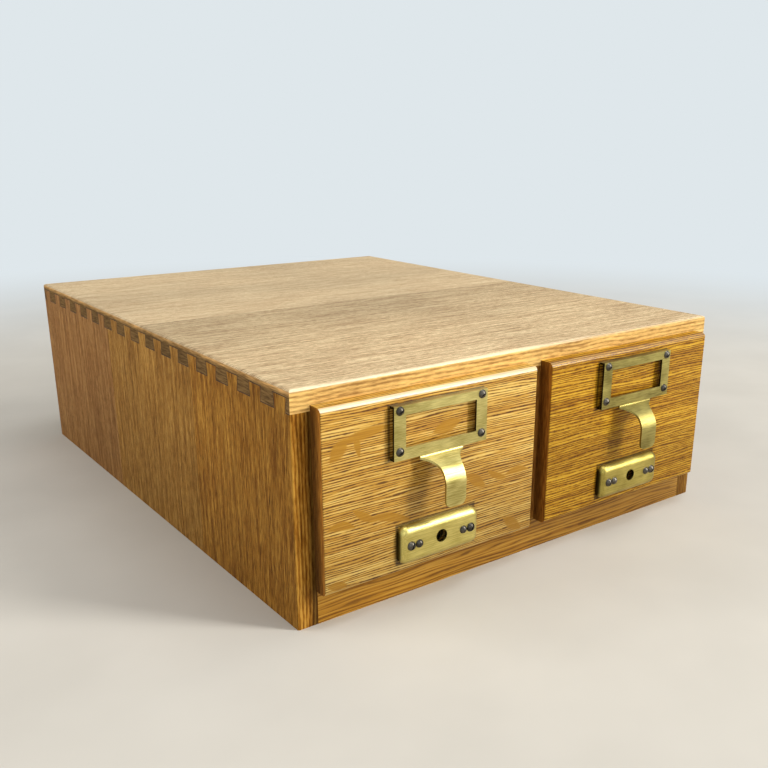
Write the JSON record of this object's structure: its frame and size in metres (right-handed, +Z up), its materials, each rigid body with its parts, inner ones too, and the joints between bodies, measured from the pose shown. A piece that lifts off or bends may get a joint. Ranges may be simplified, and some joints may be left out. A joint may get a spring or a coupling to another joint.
{
  "type": "index card cabinet",
  "caption": "Oak tabletop card cabinet with side-by-side drawers, dovetailed top, brass label holders with pull tongues, rod plates and sliding card followers.",
  "frame": {"origin": "middle of the part's own box, on the surface that it stands on", "axes": "+X to the right seen from the front, -Y out of the front where the drawers open, +Z up"},
  "size_m": [0.32, 0.4256, 0.128],
  "materials": {
    "oak_top": "satin varnish",
    "oak_side": "satin varnish",
    "oak_front": "satin varnish",
    "oak_inside": "bare",
    "plywood": "bare",
    "brass": "aged, brushed",
    "steel": "dark, worn"
  },
  "bodies": {
    "cabinet": {"top_front_board": "oak_top", "top_rear_board": "oak_top", "left_side_front_board": "oak_side", "left_side_middle_board": "oak_side", "left_side_rear_board": "oak_side", "right_side_front_board": "oak_side", "right_side_middle_board": "oak_side", "right_side_rear_board": "oak_side", "bottom_rail": "oak_front", "rear_rail": "oak_inside", "rail_dowels": "oak_inside", "floor_panel": "plywood", "floor_panel_nails": "steel", "partition": "oak_inside", "partition_screws": "steel", "back_panel": "plywood", "back_panel_nails": "steel"},
    "left_drawer": {"left_drawer_front": "oak_front", "left_drawer_left_wall": "oak_inside", "left_drawer_right_wall": "oak_inside", "left_drawer_back": "oak_inside", "left_drawer_bottom": "plywood", "left_drawer_brads": "steel", "left_label_pull": "brass", "left_label_screws": "steel", "left_rod_plate": "brass", "left_rod_plate_screws": "steel", "left_rod_plate_rivets": "steel", "left_rod_bush": "brass"},
    "left_follower": {"left_follower_board": "oak_inside", "left_follower_brace": "steel", "left_follower_runner": "steel", "left_follower_screws": "steel", "left_follower_rivets": "steel"},
    "right_drawer": {"right_drawer_front": "oak_front", "right_drawer_left_wall": "oak_inside", "right_drawer_right_wall": "oak_inside", "right_drawer_back": "oak_inside", "right_drawer_bottom": "plywood", "right_drawer_brads": "steel", "right_label_pull": "brass", "right_label_screws": "steel", "right_rod_plate": "brass", "right_rod_plate_screws": "steel", "right_rod_plate_rivets": "steel", "right_rod_bush": "brass"},
    "right_follower": {"right_follower_board": "oak_inside", "right_follower_brace": "steel", "right_follower_runner": "steel", "right_follower_screws": "steel", "right_follower_rivets": "steel"}
  },
  "joints": [
    {"name": "left_drawer_slide", "type": "slide", "parent": "cabinet", "child": "left_drawer", "axis": [0, -1, 0], "range_m": [0, 0.33]},
    {"name": "left_follower_slide", "type": "slide", "parent": "left_drawer", "child": "left_follower", "axis": [0, -1, 0], "range_m": [0, 0.285]},
    {"name": "right_drawer_slide", "type": "slide", "parent": "cabinet", "child": "right_drawer", "axis": [0, -1, 0], "range_m": [0, 0.33]},
    {"name": "right_follower_slide", "type": "slide", "parent": "right_drawer", "child": "right_follower", "axis": [0, -1, 0], "range_m": [0, 0.285]}
  ]
}
